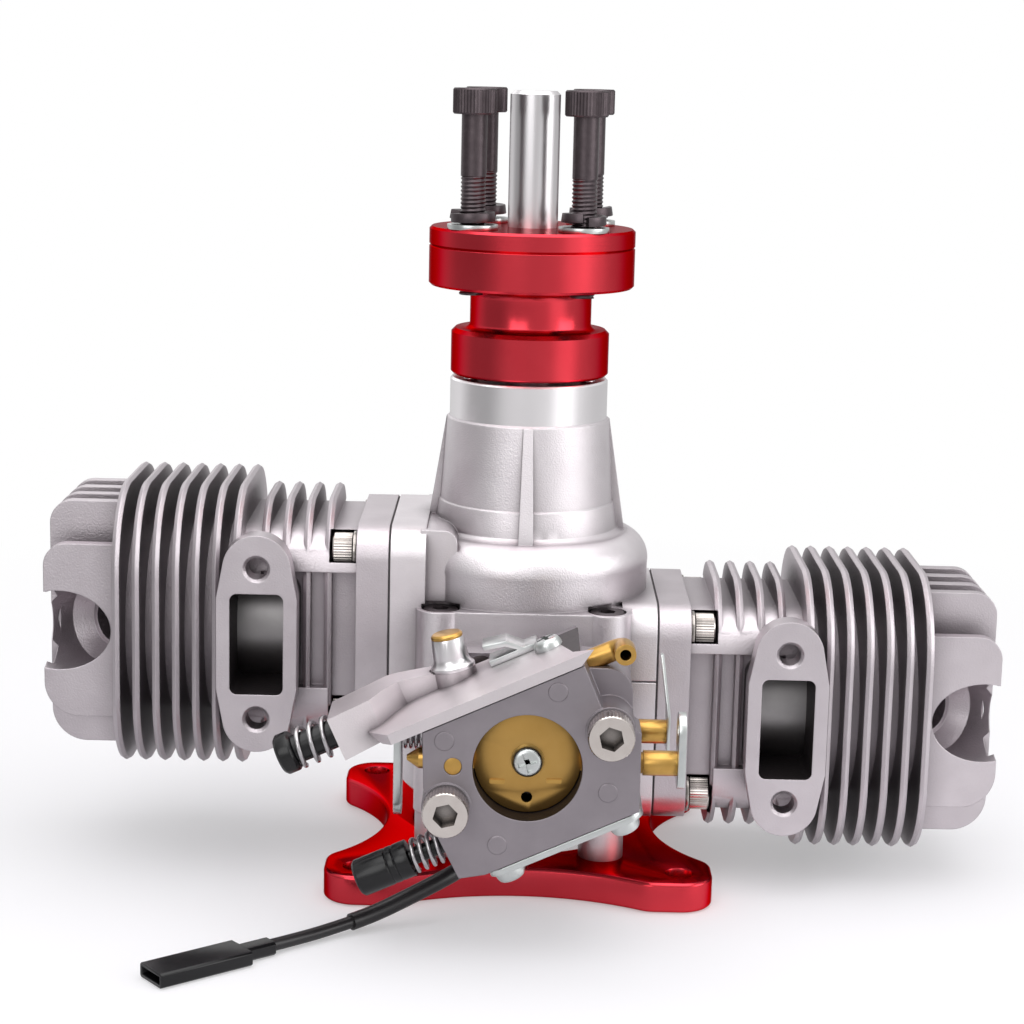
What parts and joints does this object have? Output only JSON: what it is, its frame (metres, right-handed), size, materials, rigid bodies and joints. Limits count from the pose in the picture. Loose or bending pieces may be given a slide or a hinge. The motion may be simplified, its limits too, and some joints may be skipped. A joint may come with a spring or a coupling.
{
  "type": "flat-twin model aircraft engine",
  "caption": "Air-cooled flat-twin two-stroke model aircraft engine on a mounting plate, with carburettor, propeller hub and pickup lead.",
  "frame": {"origin": "centre of the four mounting holes on the plate's rear face, which is on the crank axis", "axes": "+Z along the crankshaft towards the propeller, +X towards the right cylinder, -Y towards the carburettor"},
  "size_m": [0.1896, 0.1201, 0.1566],
  "materials": {
    "red_anodised": "bright red anodised, fine turned grain",
    "cast_aluminium": "fine bead-blasted casting",
    "machined_aluminium": "clean machined",
    "carb_casting": "smooth die casting, grey",
    "cover_aluminium": "satin stamped cover",
    "zinc_plate": "bright zinc plated steel",
    "nickel_steel": "nickel plated steel",
    "bearing_steel": "ground steel",
    "polished_steel": "ground and polished",
    "black_oxide": "black oxide, light oil",
    "spring_steel": "drawn wire",
    "brass": "clean turned brass",
    "black_plastic": "moulded black plastic",
    "insulator_plastic": "glass-filled black plastic",
    "gasket_paper": "thin dark gasket paper",
    "seal_rubber": "oil-proof black rubber",
    "magnet": "nickel plated magnet",
    "lead_jacket": "black soft jacket",
    "piston_alloy": "machined piston alloy"
  },
  "bodies": {
    "engine_case": {"mount_plate": "red_anodised", "standoffs": "machined_aluminium", "countersunk_screws": "black_oxide", "crankcase_front": "cast_aluminium", "crankcase_rear": "cast_aluminium", "case_gaskets": "gasket_paper", "case_bolts": "black_oxide", "cylinder_left": "cast_aluminium", "cylinder_right": "cast_aluminium", "cylinder_bolts": "nickel_steel", "cylinder_washers": "nickel_steel", "bearing_outer_rings": "bearing_steel", "crank_seal": "seal_rubber", "nose_screws": "nickel_steel", "ignition_sensor": "black_plastic", "reed_block": "machined_aluminium", "reed_petals": "spring_steel", "insulator": "insulator_plastic", "carb_body": "carb_casting", "pump_cover": "cover_aluminium", "carb_gaskets": "gasket_paper", "metering_cover": "zinc_plate", "carb_cover_screws": "zinc_plate", "carb_bolts": "nickel_steel", "fuel_elbow": "brass", "linkage_bracket": "zinc_plate", "pump_post": "polished_steel", "brass_caps": "brass", "adjuster_springs": "spring_steel", "return_spring": "spring_steel", "sensor_lead": "lead_jacket", "lead_plug": "black_plastic"},
    "crank": {"crankshaft": "polished_steel", "bearing_inner_rings": "bearing_steel", "prop_hub": "red_anodised", "prop_washer": "red_anodised", "prop_shaft": "polished_steel", "prop_bolts": "black_oxide", "prop_plain_washers": "nickel_steel", "prop_spring_washers": "black_oxide", "hub_magnet": "magnet"},
    "piston_train_left": {"piston_left": "piston_alloy", "piston_ring_left": "bearing_steel", "connecting_rod_left": "polished_steel", "running_pins_left": "polished_steel"},
    "piston_train_right": {"piston_right": "piston_alloy", "piston_ring_right": "bearing_steel", "connecting_rod_right": "polished_steel", "running_pins_right": "polished_steel"},
    "choke": {"choke_shaft": "brass", "choke_disc": "brass", "choke_screw": "zinc_plate", "choke_lever": "zinc_plate"},
    "throttle": {"throttle_shaft": "brass", "throttle_disc": "brass", "throttle_lever": "zinc_plate", "throttle_arm": "spring_steel"},
    "idle_adjuster": {"idle_screw": "black_plastic"},
    "mixture_adjuster": {"mixture_screw": "black_plastic"}
  },
  "joints": [
    {"name": "crank_spin", "type": "hinge", "parent": "engine_case", "child": "crank", "pos_m": [0, 0, 0.075], "axis": [0, 0, 1], "continuous": true},
    {"name": "piston_left_slide", "type": "slide", "parent": "engine_case", "child": "piston_train_left", "axis": [1, 0, 0], "range_m": [0, 0.025]},
    {"name": "piston_right_slide", "type": "slide", "parent": "engine_case", "child": "piston_train_right", "axis": [-1, 0, 0], "range_m": [0, 0.025]},
    {"name": "choke_turn", "type": "hinge", "parent": "engine_case", "child": "choke", "pos_m": [0.0011, -0.0618, 0.0375], "axis": [1, 0, 0], "range_deg": [-80, 0]},
    {"name": "throttle_turn", "type": "hinge", "parent": "engine_case", "child": "throttle", "pos_m": [0.0011, -0.0413, 0.0375], "axis": [1, 0, 0], "range_deg": [0, 75], "stiffness_Nm_per_rad": 0.01},
    {"name": "idle_turn", "type": "hinge", "parent": "engine_case", "child": "idle_adjuster", "pos_m": [-0.03871, -0.056, 0.03804], "axis": [0.91, 0, 0.4147], "range_deg": [-360, 360]},
    {"name": "mixture_turn", "type": "hinge", "parent": "engine_case", "child": "mixture_adjuster", "pos_m": [-0.02495, -0.0585, 0.01508], "axis": [0.91, 0, 0.4147], "range_deg": [-360, 360]}
  ],
  "couplings": [
    {"joint": "piston_right_slide", "follows": "piston_left_slide", "ratio": 1}
  ]
}
